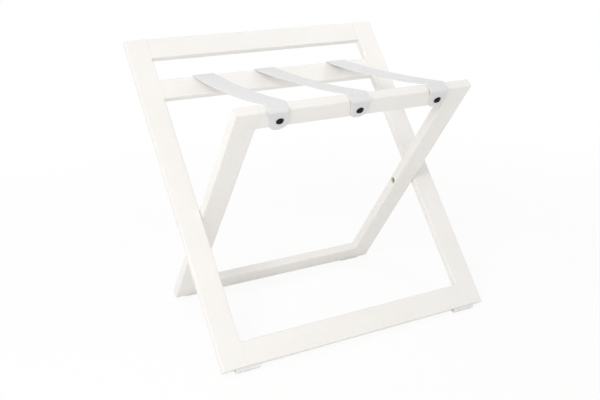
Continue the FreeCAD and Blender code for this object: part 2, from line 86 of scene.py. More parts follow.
def row_of_places(node):
    """The middles across of the separate solids in a row of like ones."""
    across = sorted(vertex.co.x for vertex in frame["nodes"][node].data.vertices)
    rows = [[across[0]]]
    for place in across[1:]:
        if place - rows[-1][-1] > ROW_GAP:
            rows.append([])
        rows[-1].append(place)
    return [(row[0] + row[-1]) / 2 for row in rows]


# ------------------------------------------------------------------ settings a user may change
class StandPaint(bpy.types.PropertyGroup):
    """The paint on the boards."""
    colour: bpy.props.FloatVectorProperty(
        name="Paint", description="Colour of the paint", subtype="COLOR", size=3,
        min=0, max=1, default=(0.885, 0.866, 0.841))
    thin: bpy.props.FloatVectorProperty(
        name="Thin paint", description="Colour where the paint is thin, at the boards' edges",
        subtype="COLOR", size=3, min=0, max=1, default=(0.76, 0.725, 0.655))
    roughness: bpy.props.FloatProperty(
        name="Roughness", description="Roughness of the satin paint", min=0, max=1, default=0.4)
    relief: bpy.props.FloatProperty(
        name="Relief", description="Depth of the wood grain and brush marks under the paint",
        subtype="DISTANCE", unit="LENGTH", min=0, max=0.001, precision=5, default=0.00028)


class StandStraps(bpy.types.PropertyGroup):
    """The three straps."""
    width: bpy.props.FloatProperty(
        name="Width", description="Width of a strap", unit="LENGTH",
        min=0.02, max=0.06, default=0.045)
    thickness: bpy.props.FloatProperty(
        name="Thickness", description="Thickness of a strap", unit="LENGTH",
        min=0.001, max=0.004, default=0.0021)
    sag: bpy.props.FloatProperty(
        name="Sag", description="How far a strap hangs below its ends", unit="LENGTH",
        min=0, max=0.02, default=0.007)
    colour: bpy.props.FloatVectorProperty(
        name="Leather", description="Colour of the straps", subtype="COLOR", size=3,
        min=0, max=1, default=(0.78, 0.782, 0.79))
    edge: bpy.props.FloatVectorProperty(
        name="Cut edge", description="Colour of the straps' sealed cut edges", subtype="COLOR",
        size=3, min=0, max=1, default=(0.62, 0.62, 0.625))


class StandMetal(bpy.types.PropertyGroup):
    """The screws, bolts and inserts."""
    black: bpy.props.FloatVectorProperty(
        name="Black finish", description="Colour of the strap screws", subtype="COLOR", size=3,
        min=0, max=1, default=(0.008, 0.008, 0.0085))
    bronze: bpy.props.FloatVectorProperty(
        name="Bronze finish", description="Colour of the pivot bolts", subtype="COLOR", size=3,
        min=0, max=1, default=(0.5, 0.475, 0.24))
    socket: bpy.props.FloatProperty(
        name="Socket", description="Hexagon socket of a strap screw, across flats", unit="LENGTH",
        min=0.002, max=0.008, default=0.004)


class StandFeet(bpy.types.PropertyGroup):
    """The foot pads."""
    colour: bpy.props.FloatVectorProperty(
        name="Plastic", description="Colour of the milky foot pads", subtype="COLOR", size=3,
        min=0, max=1, default=(0.77, 0.775, 0.77))
    rounding: bpy.props.FloatProperty(
        name="Rounding", description="Rounding of a foot pad's edges", unit="LENGTH",
        min=0.0002, max=0.002, default=0.001)


class StandStage(bpy.types.PropertyGroup):
    """The floor, the light and the camera."""
    floor: bpy.props.FloatVectorProperty(
        name="Floor", description="Colour of the floor", subtype="COLOR", size=3,
        min=0, max=1, default=(0.93, 0.93, 0.925))
    sky: bpy.props.FloatProperty(
        name="Room light", description="Strength of the even light of the room",
        min=0, max=2, default=0.72)
    key: bpy.props.FloatProperty(
        name="Key light", description="Power of the main lamp, to the left in front",
        subtype="POWER", unit="POWER", min=0, max=400, default=26)
    back: bpy.props.FloatProperty(
        name="Back light", description="Power of the lamp behind the stand", subtype="POWER",
        unit="POWER", min=0, max=400, default=8)
    backrest: bpy.props.FloatProperty(
        name="Backrest light", description="Power of the narrow lamp on the backrest's right end",
        subtype="POWER", unit="POWER", min=0, max=20, default=0.07)
    lens: bpy.props.FloatProperty(
        name="Lens", description="Focal length of the camera", subtype="DISTANCE_CAMERA",
        min=20, max=120, default=49.91)


SETTINGS = {"paint": StandPaint, "straps": StandStraps, "metal": StandMetal,
            "feet": StandFeet, "stage": StandStage}


def settings(name):
    """One group of the scene's settings."""
    return getattr(bpy.context.scene, f"stand_{name}")


# ------------------------------------------------------------------ modelling helpers
def take_only(piece):
    """Deselects all, then selects the piece and makes it active."""
    bpy.ops.object.select_all(action="DESELECT")
    piece.select_set(True)
    bpy.context.view_layer.objects.active = piece


def new_piece(name):
    """Names the primitive that was just added, and its mesh."""
    piece = bpy.context.object
    piece.name = name
    piece.data.name = name
    take_only(piece)
    return piece


def choose(piece, kind, wanted):
    """In edit mode, selects just the "verts", "edges" or "faces" for which wanted() is true."""
    bpy.ops.mesh.select_mode(type=kind[:-1].upper())
    bpy.ops.mesh.select_all(action="DESELECT")
    mesh = bmesh.from_edit_mesh(piece.data)
    for item in getattr(mesh, kind):
        if wanted(item):
            item.select_set(True)
    mesh.select_flush_mode()
    bmesh.update_edit_mesh(piece.data)


def apply_modifier(piece, kind, **values):
    """Adds a modifier with these values and applies it."""
    modifier = piece.modifiers.new(kind.lower(), kind)
    for key, value in values.items():
        setattr(modifier, key, value)
    take_only(piece)
    bpy.ops.object.modifier_apply(modifier=modifier.name)


def round_edges(piece, width, segments, degrees):
    """Rounds the edges that are sharper than this."""
    apply_modifier(piece, "BEVEL", width=width, segments=segments, limit_method="ANGLE",
                   angle_limit=math.radians(degrees))


def smooth(piece, degrees):
    """Smooth shading, but for edges sharper than this."""
    take_only(piece)
    bpy.ops.object.shade_smooth_by_angle(angle=math.radians(degrees))


def dress(piece, *materials):
    """Gives the piece these materials in place of any that it has."""
    piece.data.materials.clear()
    for material in materials:
        piece.data.materials.append(material)


# ------------------------------------------------------------------ material helpers
def feed(tree, node, inputs):
    """Gives a node's inputs their values, each a plain one or the socket that it comes from."""
    for key, value in inputs.items():
        if isinstance(value, bpy.types.NodeSocket):
            tree.links.new(value, node.inputs[key])
        else:
            node.inputs[key].default_value = value


def put(tree, kind, inputs=None, **values):
    """Adds a shader node with these inputs and property values."""
    node = tree.nodes.new(kind)
    for key, value in values.items():
        setattr(node, key, value)
    feed(tree, node, inputs or {})
    return node


def reckon(tree, operation, *terms):
    """The output of a Math node that works on these terms."""
    return put(tree, "ShaderNodeMath", dict(enumerate(terms)), operation=operation).outputs[0]


def reckon_vector(tree, operation, *terms):
    """The vector that a Vector Math node makes of these terms."""
    return put(tree, "ShaderNodeVectorMath", dict(enumerate(terms)), operation=operation).outputs[0]


def fade(tree, value, start, end, low=0.0, high=1.0):
    """The value carried smoothly from start..end to low..high."""
    return put(tree, "ShaderNodeMapRange",
               {"Value": value, "From Min": start, "From Max": end, "To Min": low, "To Max": high},
               interpolation_type="SMOOTHSTEP").outputs["Result"]


def tint(tree, share, under, over):
    """The colour under, mixed with the colour over by a share that changes over the surface."""
    return put(tree, "ShaderNodeMix", {"Factor": share, "A": under, "B": over},
               data_type="RGBA").outputs[2]


def noise(tree, vector, scale, detail=2.0, roughness=0.5):
    """A noise pattern from 0 to 1."""
    return put(tree, "ShaderNodeTexNoise", {"Vector": vector, "Scale": scale, "Detail": detail,
                                            "Roughness": roughness}).outputs["Fac"]


def new_effect(name, inputs, outputs):
    """A shader node group with these sockets: its tree, its inputs by name, its output node."""
    tree = bpy.data.node_groups.new(name, "ShaderNodeTree")
    for side, sockets in (("INPUT", inputs), ("OUTPUT", outputs)):
        for socket, kind in sockets.items():
            tree.interface.new_socket(name=socket, in_out=side, socket_type=f"NodeSocket{kind}")
    entry = tree.nodes.new("NodeGroupInput")
    return tree, entry.outputs, tree.nodes.new("NodeGroupOutput")


def lay(tree, effect, **inputs):
    """Places an effect in a material and gives its output sockets."""
    return put(tree, "ShaderNodeGroup", inputs, node_tree=bpy.data.node_groups[effect]).outputs


def new_material(name, **plain):
    """A material, its tree and its shader, with plain values on the shader's own sockets."""
    material = bpy.data.materials.new(name)
    material.use_nodes = True
    tree = material.node_tree
    shader = tree.nodes["Principled BSDF"]
    for key, value in plain.items():
        shader.inputs[key.replace("_", " ")].default_value = value
    return material, tree, shader


def rgba(colour, level=1.0):
    """A colour with an alpha, made lighter or darker by a level."""
    return (*(channel * level for channel in colour), 1.0)


def coat(tree, shader, colour, roughness, height=None, strength=0.0, depth=0.0):
    """Feeds a shader its colour and roughness, and a height as relief of this depth in metres."""
    feed(tree, shader, {"Base Color": colour, "Roughness": roughness})
    if height is not None:
        bump = put(tree, "ShaderNodeBump",
                   {"Height": height, "Strength": strength, "Distance": depth})
        feed(tree, shader, {"Normal": bump.outputs[0]})


def marked(tree, worn, colour, share, level):
    """A colour whose handling marks go towards a lighter or darker level of it by a share."""
    marks = reckon(tree, "MULTIPLY", worn["Marks"], share)
    return tint(tree, marks, rgba(colour), rgba(colour, level))


def object_place(tree):
    """Object coordinates, which are metres in the row frame."""
    return put(tree, "ShaderNodeTexCoord").outputs["Object"]


def own_place(tree, location, rotation=(0, 0, 0)):
    """Object coordinates turned into the axes of a piece that lies at location with rotation."""
    return put(tree, "ShaderNodeMapping",
               {"Vector": object_place(tree), "Location": location, "Rotation": rotation},
               vector_type="TEXTURE").outputs["Vector"]


# ------------------------------------------------------------------ shared effects
def make_board_edges():
    """Masks of a board's long edges and of the seams at its two ends, from its half size."""
    tree, given, out = new_effect(
        "board_edges", {"Vector": "Vector", "Half": "Vector", "Reach": "Float"},
        {"Edge": "Float", "Seam": "Float"})
    off_middle = reckon_vector(tree, "ABSOLUTE", given["Vector"])
    depth = reckon_vector(tree, "SUBTRACT", given["Half"], off_middle)
    side = put(tree, "ShaderNodeSeparateXYZ", {0: depth}).outputs
    # an edge is where the second smallest distance to a side is small too
    low = reckon(tree, "MINIMUM", side[0], side[1])
    high = reckon(tree, "MAXIMUM", side[0], side[1])
    second = reckon(tree, "MAXIMUM", low, reckon(tree, "MINIMUM", high, side[2]))
    edge = fade(tree, second, 0.0, given["Reach"], 1.0, 0.0)
    seam = fade(tree, reckon(tree, "ABSOLUTE", side[0]), 0.0002, 0.0006, 1.0, 0.0)
    feed(tree, out, {"Edge": edge, "Seam": seam})


def make_painted_grain():
    """Brush streaks and wood grain under paint. Stretch is their repeats per metre each way."""
    tree, given, out = new_effect(
        "painted_grain", {"Vector": "Vector", "Stretch": "Vector"},
        {"Streaks": "Float", "Clouds": "Float", "Height": "Float"})
    drawn = reckon_vector(tree, "MULTIPLY", given["Vector"], given["Stretch"])
    streaks = noise(tree, drawn, 1.0, 3.0, 0.55)
    grain = noise(tree, drawn, 2.7, 2.0, 0.6)
    pores = fade(tree, grain, 0.34, 0.46)
    peel = noise(tree, given["Vector"], 520.0, 1.0)
    clouds = noise(tree, given["Vector"], 9.0, 2.0)
    height = reckon(tree, "MULTIPLY_ADD", pores, 0.45, reckon(tree, "MULTIPLY", streaks, 0.55))
    height = reckon(tree, "MULTIPLY_ADD", peel, 0.12, height)
    feed(tree, out, {"Streaks": streaks, "Clouds": clouds, "Height": height})


def make_handling():
    """Fine scuffs and smears that change how glossy a surface is. Scale is marks per metre."""
    tree, given, out = new_effect(
        "handling", {"Vector": "Vector", "Scale": "Float", "Low": "Float", "High": "Float"},
        {"Roughness": "Float", "Marks": "Float", "Height": "Float"})
    smears = noise(tree, given["Vector"], given["Scale"], 4.0, 0.6)
    fine = noise(tree, given["Vector"], reckon(tree, "MULTIPLY", given["Scale"], 7.0), 2.0)
    marks = fade(tree, smears, 0.55, 0.75)
    rough = put(tree, "ShaderNodeMapRange",
                {"Value": smears, "From Min": 0.3, "From Max": 0.7,
                 "To Min": given["Low"], "To Max": given["High"]}).outputs["Result"]
    feed(tree, out, {"Roughness": rough, "Marks": marks, "Height": fine})


# how often the creases repeat across the strap and along it
CREASES_PER_METRE = (55.0, 620.0, 1.0)


def make_leather():
    """Pebbled leather grain with fine creases across. Vector is the flat strap in metres."""
    tree, given, out = new_effect(
        "leather_grain", {"Vector": "Vector", "Cells": "Float"},
        {"Height": "Float", "Clouds": "Float", "Creases": "Float"})
    cells = put(tree, "ShaderNodeTexVoronoi",
                {"Vector": given["Vector"], "Scale": given["Cells"], "Smoothness": 0.6},
                feature="SMOOTH_F1").outputs["Distance"]
    pebbles = fade(tree, cells, 0.1, 0.75, 1.0, 0.0)
    across = reckon_vector(tree, "MULTIPLY", given["Vector"], CREASES_PER_METRE)
    creases = fade(tree, noise(tree, across, 1.0, 2.0, 0.6), 0.56, 0.72)
    clouds = noise(tree, given["Vector"], 38.0, 3.0)
    height = reckon(tree, "SUBTRACT", pebbles, reckon(tree, "MULTIPLY", creases, 0.35))
    feed(tree, out, {"Height": height, "Clouds": clouds, "Creases": creases})


EFFECTS = (make_board_edges, make_painted_grain, make_handling, make_leather)


# ------------------------------------------------------------------ the boards
BOARDS = {
    "outer_stile_left": OUTER, "outer_stile_right": OUTER, "backrest_rail": OUTER,
    "strap_rail": OUTER, "front_foot_rail": OUTER, "inner_stile_left": INNER,
    "inner_stile_right": INNER, "seat_rail": INNER, "rear_foot_rail": INNER,
}
TENON_LENGTH = 0.022
# repeats per metre along and across a board, and how far the pattern moves from board to board
GRAIN_ALONG, GRAIN_ACROSS = 7.0, 260.0
GRAIN_SHIFT = (0.37, 1.9, 0.11)
# how far thin paint reaches in from an edge, and how much of it shows in a seam
EDGE_REACH, SEAM_SHARE = 0.0035, 0.08


def painted_board(node, number):
    """Satin paint over fine wood grain that runs along the board, thinner at its edges."""
    paint = settings("paint")
    body, is_rail = BOARDS[node], node.endswith("_rail")
    low, high = own_span(node, body)
    middle, half = (low + high) / 2, (high - low) / 2
    stretch = [GRAIN_ACROSS] * 3
    stretch[0 if is_rail else 1] = GRAIN_ALONG
    if is_rail:
        # what shows of a rail ends at its shoulders
        half.x -= TENON_LENGTH
    material, tree, shader = new_material(f"painted_{node}", Specular_IOR_Level=0.45)
    place = own_place(tree, own_axes(body) @ middle, TURNS[body])
    edges = lay(tree, "board_edges", Vector=place, Half=half, Reach=EDGE_REACH)
    shifted = reckon_vector(tree, "ADD", place, [shift * number for shift in GRAIN_SHIFT])
    grain = lay(tree, "painted_grain", Vector=shifted, Stretch=stretch)
    worn = lay(tree, "handling", Vector=shifted, Scale=30.0,
               Low=paint.roughness - 0.07, High=paint.roughness + 0.1)
    thin = rgba(paint.thin)
    colour = tint(tree, fade(tree, grain["Streaks"], 0.35, 0.8, high=0.3),
                  rgba(paint.colour, 1.012), rgba(paint.colour, 0.955))
    colour = tint(tree, fade(tree, grain["Clouds"], 0.35, 0.75, high=0.12), colour, thin)
    patches = fade(tree, grain["Clouds"], 0.3, 0.7, 0.06, 0.3)
    colour = tint(tree, reckon(tree, "MULTIPLY", edges["Edge"], patches), colour, thin)
    if is_rail:
        colour = tint(tree, reckon(tree, "MULTIPLY", edges["Seam"], SEAM_SHARE),
                      colour, rgba(paint.thin, 0.8))
    coat(tree, shader, colour, worn["Roughness"], grain["Height"],
         strength=0.55, depth=paint.relief)
    return material


class STAND_OT_paint_boards(bpy.types.Operator):
    """Paints the nine boards of the two frames"""
    bl_idname = "stand.paint_boards"
    bl_label = "Paint boards"

    def execute(self, context):
        for number, node in enumerate(BOARDS):
            board = frame["nodes"][node]
            dress(board, painted_board(node, number))
        return {"FINISHED"}


# ------------------------------------------------------------------ the straps
BOARD_ROUNDING = 0.002
STRAP_CLEARANCE = 0.0003
# from a rail's top edge down to the screws that hold the straps on it
SCREW_DROPS = {"strap_rail": 0.017, "seat_rail": 0.024}
TONGUE_RADIUS, TONGUE_SHOULDER = 0.018, 0.002
# from the rear screws down to the middle of the tongues' round ends
REAR_LEAD = 0.004
# half the strap's width where it crosses the rear and the front rail, and how it widens from there
NECK_HALVES = (0.0218, 0.0195)
NECK_STRAIGHT, NECK_REACH = 0.018, 0.035
# each strap's own set: how much more it hangs, its left edge over its right one, how far beside its
# screws it crosses the rear and the front rail, and its lead past the front screw
SETS = {
    "strap_left":
        {"hang": -0.001, "roll": 0.0008, "rear": -0.002, "front": -0.009, "lead": 0.004},
    "strap_centre":
        {"hang": -0.002, "roll": -0.002, "rear": -0.002, "front": -0.008, "lead": 0.0},
    "strap_right":
        {"hang": -0.002, "roll": 0.0, "rear": -0.002, "front": -0.008, "lead": 0.0},
}
# how far a strap stands proud at its four bends, from the rear tongue to the front one
BEND_LIFTS, BEND_REACH = (0.0004, 0.00025, 0.0002, 0.0024), 0.0055
# the roll grows towards the front rail; a power under 1 starts it and the droop more steeply
ROLL_START, ROLL_GROWTH, ROLL_POWER = 0.75, 0.5, 0.8
EDGE_DROOP, DROOP_POWER = 0.0005, 0.5
RIPPLE, RIPPLE_ALONG, RIPPLE_ACROSS = 0.0003, 9.0, 3.0
# the dent that a screw's head presses into the strap: its depth, radius and soft border
HEAD_DENT, DENT_RADIUS, DENT_BORDER, DENT_POWER = 0.00035, 0.0068, 0.0035, 0.7
# steps of the middle line over a rail's lower and upper corner and along the sag
LOWER_STEPS, UPPER_STEPS, SAG_STEPS = 10, 12, 120
# columns of faces across a strap, rows in each tongue, and the power that spreads these rows
STRAP_COLUMNS, TONGUE_ROWS, ROW_POWER = 14, 16, 0.8
# spacing of the rows within this reach of a bend, and elsewhere
BEND_ZONE, BEND_SPACING, ROW_SPACING = 0.006, 0.0007, 0.0028
CUT_ROUNDING = 0.0006


def arc_points(centre, radius, start, end, count):
    """Points and outward normals along an arc in the side view, angles in radians."""
    found = []
    for step in range(count + 1):
        angle = start + (end - start) * step / count
        normal = Vector((math.cos(angle), math.sin(angle)))
        found.append((centre + normal * radius, normal))
    return found


def rail_half(rail, body, dip, lift, lead):
    """One end of a strap's middle line in the side view (back, up), from its tip to the span."""
    low, high = own_span(rail, body)
    top, half = high.y - BOARD_ROUNDING, (high.z - low.z) / 2
    sign = LEANING[body]
    along = Vector((sign * math.cos(LEAN), math.sin(LEAN)))
    out = Vector((-sign * math.sin(LEAN), math.cos(LEAN)))
    radius = BOARD_ROUNDING + lift
    rest = math.atan2(along.y, along.x)
    lower = along * top - out * (half - BOARD_ROUNDING)
    upper = along * top + out * (half - BOARD_ROUNDING)
    tip = along * (high.y - SCREW_DROPS[rail] - lead - TONGUE_RADIUS) - out * (half + lift)
    # the tongue lies on the lower face, turns over two corners and leaves at the slope of the sag
    return ([(tip, -out)]
            + arc_points(lower, radius, rest - sign * math.pi / 2, rest, LOWER_STEPS)
            + arc_points(upper, radius, rest, math.pi / 2 + sign * dip, UPPER_STEPS))


def strap_line(lift, sag, lead):
    """The middle line of a strap in the side view, from its rear tip to its front one.

    It gives the line's points with their normals, each point's run, and the runs of the four bends.
    """
    def both_ends(dip):
        return (rail_half("strap_rail", OUTER, dip, lift, REAR_LEAD),
                rail_half("seat_rail", INNER, dip, lift, lead))

    rear, front = both_ends(0)
    dip = 2 * math.atan(2 * sag / (rear[-1][0] - front[-1][0]).length)
    rear, front = both_ends(dip)
    start, end = rear[-1][0], front[-1][0]
    radius = (end - start).length / 2 / math.sin(dip)
    middle = (start + end) / 2 + Vector((0, radius * math.cos(dip)))
    hang = []
    for step in range(1, SAG_STEPS):
        angle = -math.pi / 2 + dip * (1 - 2 * step / SAG_STEPS)
        spoke = Vector((math.cos(angle), math.sin(angle)))
        hang.append((middle + spoke * radius, -spoke))
    line = rear + hang + front[::-1]
    runs = [0.0]
    for (one, _), (other, _) in zip(line, line[1:]):
        runs.append(runs[-1] + (other - one).length)
    lower, upper = 1 + LOWER_STEPS // 2, 2 + LOWER_STEPS + UPPER_STEPS // 2
    return line, runs, (runs[lower], runs[upper], runs[-1 - upper], runs[-1 - lower])


def along_line(line, runs, run):
    """(place, normal) at a run along the middle line."""
    if run <= 0:
        return line[0][0] + (line[0][0] - line[1][0]).normalized() * -run, line[0][1]
    if run >= runs[-1]:
        past = (line[-1][0] - line[-2][0]).normalized() * (run - runs[-1])
        return line[-1][0] + past, line[-1][1]
    low, high = 0, len(runs) - 1
    while high - low > 1:
        middle = (low + high) // 2
        if runs[middle] <= run:
            low = middle
        else:
            high = middle
    share = (run - runs[low]) / max(runs[high] - runs[low], 1e-9)
    (place, normal), (next_place, next_normal) = line[low], line[high]
    return place.lerp(next_place, share), normal.lerp(next_normal, share).normalized()


def hill(run, top, reach):
    """A smooth hill of height 1 about a run."""
    return math.exp(-((run - top) / reach) ** 2)


def clamp(share):
    """The share, kept between 0 and 1."""
    return min(max(share, 0), 1)


def ease(share):
    """0 to 1 as a share goes from 0 to 1, smooth at both ends."""
    share = clamp(share)
    return share * share * (3 - 2 * share)


def tongue_shape(rail, lead, neck):
    """From a tongue's tip to its shoulder, and half the angle that its round end spans."""
    narrow = SCREW_DROPS[rail] + lead - TONGUE_SHOULDER
    touch = math.atan2(narrow, neck) - math.acos(TONGUE_RADIUS / math.hypot(neck, narrow))
    return narrow + TONGUE_RADIUS, math.pi / 2 + touch


def tongue_point(side, step, shoulder, spread, neck):
    """A point of a tongue with its tip at Y = 0, this many rows out from its shoulder."""
    angle = side * spread
    rim = Vector((TONGUE_RADIUS * math.sin(angle), TONGUE_RADIUS * (1 - math.cos(angle)), 0))
    return Vector((side * neck, shoulder, 0)).lerp(rim, (step / TONGUE_ROWS) ** ROW_POWER)


def body_rows(start, end, bends):
    """The rows between a strap's two tongues, closer where it turns over a rail."""
    rows, run = [], start
    while run < end:
        rows.append(run)
        near = min(abs(run - bend) for bend in bends)
        run += BEND_SPACING if near < BEND_ZONE else ROW_SPACING
    return rows + [end]


def flat_strap(name, length, bends, front_lead):
    """The strap before it is bent, cut and with its edges rounded, and its area."""
    cut = settings("straps")
    half = cut.width / 2
    rear, front = (tongue_shape(*facts) for facts in
                   zip(SCREW_DROPS, (REAR_LEAD, front_lead), NECK_HALVES))
    start, end = rear[0], length - front[0]
    rows = body_rows(start, end, bends)
    count = len(rows) + 2 * TONGUE_ROWS
    bpy.ops.mesh.primitive_grid_add(x_subdivisions=STRAP_COLUMNS, y_subdivisions=count - 1, size=1)
    piece = new_piece(name)
    for vertex in piece.data.vertices:
        side = vertex.co.x * 2
        row = round((vertex.co.y + 0.5) * (count - 1)) - TONGUE_ROWS
        if row < 0:
            vertex.co = tongue_point(side, -row, *rear, NECK_HALVES[0])
        elif row < len(rows):
            run = rows[row]
            wide = half
            for inward, neck in zip((run - start, end - run), NECK_HALVES):
                wide -= (half - neck) * (1 - ease((inward - NECK_STRAIGHT) / NECK_REACH))
            vertex.co = (side * wide, run, 0)
        else:
            place = tongue_point(side, row - len(rows) + 1, *front, NECK_HALVES[1])
            vertex.co = (place.x, length - place.y, 0)
    uvs = piece.data.uv_layers.active.data
    for loop in piece.data.loops:
        uvs[loop.index].uv = piece.data.vertices[loop.vertex_index].co.xy
    area = sum(face.area for face in piece.data.polygons)
    apply_modifier(piece, "SOLIDIFY", thickness=cut.thickness, offset=0.0, material_offset_rim=1)
    bpy.ops.object.mode_set(mode="EDIT")
    choose(piece, "edges", lambda edge: len(edge.link_faces) == 2
           and sorted(abs(face.normal.z) > 0.5 for face in edge.link_faces) == [False, True])
    bpy.ops.mesh.bevel(offset=CUT_ROUNDING, segments=3, affect="EDGES", clamp_overlap=False)
    bpy.ops.object.mode_set(mode="OBJECT")
    return piece, area


def bend_strap(piece, own, line, runs, bends, screws):
    """Lays the flat strap over both rails, a little proud at the bends, rolled along its span."""
    half = settings("straps").width / 2
    heads = (REAR_LEAD + TONGUE_RADIUS, runs[-1] - own["lead"] - TONGUE_RADIUS)
    rear, front = screws[0] + own["rear"], screws[1] + own["front"]
    start_y, end_y = (along_line(line, runs, bend)[0].x for bend in bends[1:3])
    for vertex in piece.data.vertices:
        across, run, height = vertex.co
        place, normal = along_line(line, runs, run)
        side = across / half
        height += max(lift * hill(run, bend, BEND_REACH) for lift, bend in zip(BEND_LIFTS, bends))
        for head in heads:
            if height > 0:
                border = clamp((math.hypot(across, run - head) - DENT_RADIUS) / DENT_BORDER)
                height -= HEAD_DENT * (1 - border ** DENT_POWER)
        share = clamp((run - bends[1]) / (bends[2] - bends[1]))
        swell = math.sin(math.pi * share)
        roll = own["roll"] * swell ** ROLL_POWER * (ROLL_START + ROLL_GROWTH * share)
        droop = EDGE_DROOP * side ** 2 * swell ** DROOP_POWER
        ripple = RIPPLE * math.sin(RIPPLE_ALONG * share + RIPPLE_ACROSS * side) * swell
        # straight in plan over the span, and each tongue turned to meet its screw
        middle = rear + (front - rear) * ((start_y - place.x) / (start_y - end_y))
        middle -= own["rear"] * clamp((bends[0] - run) / (bends[0] - heads[0]))
        middle -= own["front"] * clamp((run - bends[3]) / (heads[1] - bends[3]))
        vertex.co = (middle + across,
                     PIVOT.y + place.x + normal.x * height,
                     PIVOT.z + place.y + normal.y * height + roll * side / 2 + ripple - droop)


def leather(name, colour, cells, rough):
    """Leather that follows the flat strap, this many pebbles to the metre, with painted shade in
    its creases and in the hollows of its grain.
    """
    material, tree, shader = new_material(
        name, Specular_IOR_Level=0.4, Sheen_Weight=0.12, Sheen_Roughness=0.4)
    flat = put(tree, "ShaderNodeUVMap").outputs["UV"]
    grain = lay(tree, "leather_grain", Vector=flat, Cells=cells)
    worn = lay(tree, "handling", Vector=flat, Scale=60.0, Low=rough - 0.08, High=rough + 0.08)
    # painted shade: the hollows of the grain are darkened in colour, over and above their relief
    painted_hollow_shade = fade(tree, grain["Height"], 0.0, 0.45, 0.4, 0.0)
    shade = tint(tree, painted_hollow_shade, rgba(colour), rgba(colour, 0.88))
    clouds = fade(tree, grain["Clouds"], 0.4, 0.7, high=0.25)
    shade = tint(tree, clouds, shade, rgba(colour, 0.95))
    # painted shade: the creases are darkened in colour, over and above their relief
    creases = reckon(tree, "MULTIPLY", grain["Creases"], 0.18)
    shade = tint(tree, creases, shade, rgba(colour, 0.8))
    coat(tree, shader, shade, worn["Roughness"], grain["Height"], strength=0.5, depth=0.00025)
    return material


class STAND_OT_fit_straps(bpy.types.Operator):
    """Cuts the three straps flat and lays them over the strap rail and the seat rail"""
    bl_idname = "stand.fit_straps"
    bl_label = "Fit straps"

    def execute(self, context):
        cut = settings("straps")
        face = leather("strap_leather", cut.colour, cells=780.0, rough=0.52)
        edge = leather("strap_cut_edge", cut.edge, cells=1500.0, rough=0.6)
        lift = STRAP_CLEARANCE + cut.thickness / 2
        screws = zip(row_of_places("rear_strap_screws"), row_of_places("front_strap_screws"))
        for (name, own), places in zip(SETS.items(), screws):
            line, runs, bends = strap_line(lift, cut.sag + own["hang"], own["lead"])
            piece, area = flat_strap(f"{name}_leather", runs[-1], bends, own["lead"])
            bend_strap(piece, own, line, runs, bends, places)
            dress(piece, face, edge)
            smooth(piece, 50)
            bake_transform(piece)
            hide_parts(name)
        return {"FINISHED"}


# ------------------------------------------------------------------ the strap screws
HEAD_RADIUS, HEAD_RIM, HEAD_DOME = 0.007, 0.0008, 0.0034
HEAD_ROUNDING = 0.00018
# radii of the rings of the dome and of its socket's mouth
DOME_RINGS, MOUTH_RADIUS = (0.0064, 0.0055, 0.0045, 0.0036, 0.0028), 0.0026
LEAD_IN, SOCKET_DEPTH = 0.0002, 0.0012
SHANK_RADIUS, SHANK_GRIP = 0.002, 0.0128
# the angle that the first screw of a row was tight at, and how much further round each next one is
TIGHT_AT, TIGHT_STEP = {OUTER: 0.85, INNER: 0.35}, 0.8


def dome_rise(radius):
    """Height of the dome above its rim at a radius."""
    curve = (HEAD_RADIUS ** 2 + HEAD_DOME ** 2) / (2 * HEAD_DOME)
    return math.sqrt(curve ** 2 - radius ** 2) - (curve - HEAD_DOME)


def hexagon(piece, across, level):
    """Moves the chosen ring of vertices onto a hexagon, this wide across flats, at a level."""
    mesh = bmesh.from_edit_mesh(piece.data)
    for vertex in mesh.verts:
        if vertex.select:
            angle = math.atan2(vertex.co.y, vertex.co.x)
            from_flat = (angle + math.pi / 6) % (math.pi / 3) - math.pi / 6
            reach = across / 2 / math.cos(from_flat)
            vertex.co = (reach * math.cos(angle), reach * math.sin(angle), level)
    bmesh.update_edit_mesh(piece.data)


def screw_model(name):
    """A domed screw with a hexagon socket, its head standing on Z = 0."""
    bpy.ops.mesh.primitive_cylinder_add(vertices=48, radius=HEAD_RADIUS, depth=HEAD_RIM,
                                        location=(0, 0, HEAD_RIM / 2), end_fill_type="NGON")
    piece = new_piece(name)
    bpy.ops.object.transform_apply(location=True, rotation=True, scale=True)
    bpy.ops.object.mode_set(mode="EDIT")
    choose(piece, "faces", lambda face: face.normal.z > 0.9)
    radius, level = HEAD_RADIUS, HEAD_RIM
    for ring in DOME_RINGS:
        rise = HEAD_RIM + dome_rise(ring)
        bpy.ops.mesh.inset(thickness=radius - ring, depth=0)
        bpy.ops.transform.translate(value=(0, 0, rise - level))
        radius, level = ring, rise
    # the socket has a small lead-in
    socket, mouth = settings("metal").socket, HEAD_RIM + dome_rise(MOUTH_RADIUS)
    for across, drop in ((socket + 2 * LEAD_IN, 0), (socket, LEAD_IN)):
        bpy.ops.mesh.inset(thickness=LEAD_IN / 2, depth=0)
        hexagon(piece, across, mouth - drop)
    bpy.ops.mesh.extrude_region_move(TRANSFORM_OT_translate={"value": (0, 0, 0)})
    hexagon(piece, socket, mouth - SOCKET_DEPTH)
    choose(piece, "faces",
           lambda face: face.normal.z < -0.9 and face.calc_center_median().z < 1e-5)
    bpy.ops.mesh.inset(thickness=HEAD_RADIUS - SHANK_RADIUS, depth=0)
    bpy.ops.mesh.extrude_region_move(TRANSFORM_OT_translate={"value": (0, 0, -SHANK_GRIP)})
    bpy.ops.object.mode_set(mode="OBJECT")
    round_edges(piece, HEAD_ROUNDING, segments=2, degrees=50)
    smooth(piece, 40)
    return piece


def strap_screw_black():
    """Black finish, rubbed a little."""
    material, tree, shader = new_material("strap_screw_black", Specular_IOR_Level=0.16)
    worn = lay(tree, "handling", Vector=object_place(tree), Scale=420.0, Low=0.2, High=0.4)
    colour = marked(tree, worn, settings("metal").black, share=0.5, level=2.2)
    coat(tree, shader, colour, worn["Roughness"], worn["Height"], strength=0.12, depth=0.0001)
    return material


